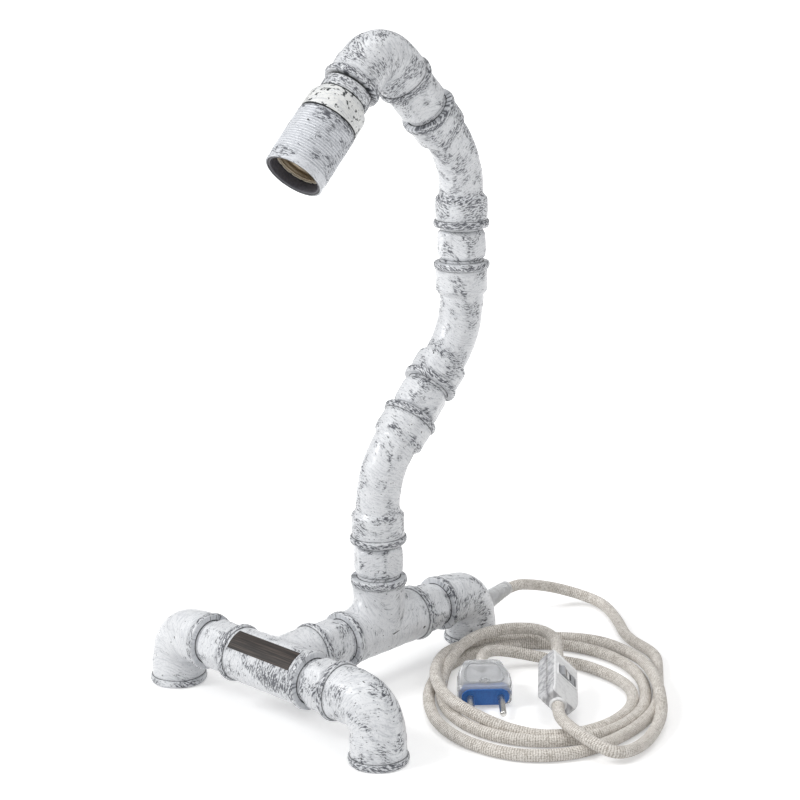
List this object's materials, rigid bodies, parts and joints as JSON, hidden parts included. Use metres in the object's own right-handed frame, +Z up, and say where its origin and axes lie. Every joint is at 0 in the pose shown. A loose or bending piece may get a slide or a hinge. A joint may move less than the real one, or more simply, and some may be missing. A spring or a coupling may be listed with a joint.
{
  "type": "pipe table lamp",
  "caption": "Table lamp screwed together from pipe fittings, with three open elbow feet, a curved swivelling neck, a tilted lamp holder and a woven cord with a switch and a plug.",
  "frame": {"origin": "on the floor, midway between the outermost sides of the feet in X and in Y, the free cord and its grip left out", "axes": "+X along the front crossbar to the right, +Y from the crossbar back to the rear foot, +Z up"},
  "size_m": [0.2994, 0.2927, 0.396],
  "materials": {
    "left_foot_elbow": "white paint brushed over dark iron, worn at the beads and ridges",
    "right_foot_elbow": "white paint brushed over dark iron, worn at the beads and ridges",
    "rear_foot_elbow": "white paint brushed over dark iron, worn at the beads and ridges",
    "front_tee": "white paint brushed over dark iron, worn at the beads and ridges",
    "stem_tee": "white paint brushed over dark iron, worn at the beads and ridges",
    "left_hex_nipple": "white paint brushed over dark iron, worn at the beads and ridges",
    "right_hex_nipple": "white paint brushed over dark iron, worn at the beads and ridges",
    "bridge_hex_nipple": "white paint brushed over dark iron, worn at the beads and ridges",
    "rear_hex_nipple": "white paint brushed over dark iron, worn at the beads and ridges",
    "stem_hex_nipple": "white paint brushed over dark iron, worn at the beads and ridges",
    "label_strip": "plain dark strip with a brushed look",
    "cord_grip": "clear milky plastic",
    "cord_grip_nut": "pale plastic",
    "base_lead": "plain sheath",
    "cord_tail": "woven linen-coloured braid",
    "cord_coil": "woven linen-coloured braid",
    "cord_to_switch": "woven linen-coloured braid",
    "cord_from_switch": "woven linen-coloured braid",
    "cord_to_plug": "woven linen-coloured braid",
    "switch_base": "clear plastic",
    "switch_cover": "clear plastic",
    "rocker_pin": "bright steel",
    "switch_terminals": "plain brass",
    "switch_terminal_screws": "zinc plated",
    "switch_contact": "sprung strip",
    "plug_body": "clear plastic",
    "plug_insert": "blue plastic",
    "plug_pins": "nickel plated",
    "plug_screw": "zinc plated",
    "lower_neck_bend": "white paint brushed over dark iron, worn at the beads and ridges",
    "lower_neck_nipple": "white paint brushed over dark iron, worn at the beads and ridges",
    "middle_neck_bend": "white paint brushed over dark iron, worn at the beads and ridges",
    "upper_neck_nipple": "white paint brushed over dark iron, worn at the beads and ridges",
    "upper_neck_bend": "white paint brushed over dark iron, worn at the beads and ridges",
    "head_hex_nipple": "white paint brushed over dark iron, worn at the beads and ridges",
    "neck_lead": "plain sheath",
    "head_elbow": "white paint brushed over dark iron, worn at the beads and ridges",
    "reducing_bush": "white paint worn to dark metal at the thread",
    "threaded_tube": "cut thread",
    "cap_lock_nut": "zinc plated",
    "holder_cap": "white paint chipped to dark metal",
    "holder_shell": "thin white paint over dark ridges",
    "holder_rim": "dark liner",
    "ceramic_insulator": null,
    "screw_shell": "nickel-washed brass",
    "centre_contact": "plain brass",
    "terminal_screws": "zinc plated",
    "head_lead": "plain sheath",
    "holder_wires": "brown and blue insulation",
    "switch_rocker": "smoky clear plastic"
  },
  "bodies": {
    "base": {"left_foot_elbow": "left_foot_elbow", "right_foot_elbow": "right_foot_elbow", "rear_foot_elbow": "rear_foot_elbow", "front_tee": "front_tee", "stem_tee": "stem_tee", "left_hex_nipple": "left_hex_nipple", "right_hex_nipple": "right_hex_nipple", "bridge_hex_nipple": "bridge_hex_nipple", "rear_hex_nipple": "rear_hex_nipple", "stem_hex_nipple": "stem_hex_nipple", "label_strip": "label_strip", "cord_grip": "cord_grip", "cord_grip_nut": "cord_grip_nut", "base_lead": "base_lead", "cord_tail": "cord_tail", "cord_coil": "cord_coil", "cord_to_switch": "cord_to_switch", "cord_from_switch": "cord_from_switch", "cord_to_plug": "cord_to_plug", "switch_base": "switch_base", "switch_cover": "switch_cover", "rocker_pin": "rocker_pin", "switch_terminals": "switch_terminals", "switch_terminal_screws": "switch_terminal_screws", "switch_contact": "switch_contact", "plug_body": "plug_body", "plug_insert": "plug_insert", "plug_pins": "plug_pins", "plug_screw": "plug_screw"},
    "neck": {"lower_neck_bend": "lower_neck_bend", "lower_neck_nipple": "lower_neck_nipple", "middle_neck_bend": "middle_neck_bend", "upper_neck_nipple": "upper_neck_nipple", "upper_neck_bend": "upper_neck_bend", "head_hex_nipple": "head_hex_nipple", "neck_lead": "neck_lead"},
    "head": {"head_elbow": "head_elbow", "reducing_bush": "reducing_bush", "threaded_tube": "threaded_tube", "cap_lock_nut": "cap_lock_nut", "holder_cap": "holder_cap", "holder_shell": "holder_shell", "holder_rim": "holder_rim", "ceramic_insulator": "ceramic_insulator", "screw_shell": "screw_shell", "centre_contact": "centre_contact", "terminal_screws": "terminal_screws", "head_lead": "head_lead", "holder_wires": "holder_wires"},
    "rocker": {"switch_rocker": "switch_rocker"}
  },
  "joints": [
    {"name": "neck_swivel", "type": "hinge", "parent": "base", "child": "neck", "pos_m": [0.00225, 0.0015, 0.088], "axis": [0, 0, 1], "range_deg": [-90, 90]},
    {"name": "head_swivel", "type": "hinge", "parent": "neck", "child": "head", "pos_m": [0.00225, 0.03084, 0.3641], "axis": [0, -0.7071, 0.7071], "range_deg": [-90, 90]},
    {"name": "rocker_tilt", "type": "hinge", "parent": "base", "child": "rocker", "pos_m": [0.11831, 0.03833, 0.01865], "axis": [0.6307, -0.7624, -0.1444], "range_deg": [0, 16]}
  ]
}
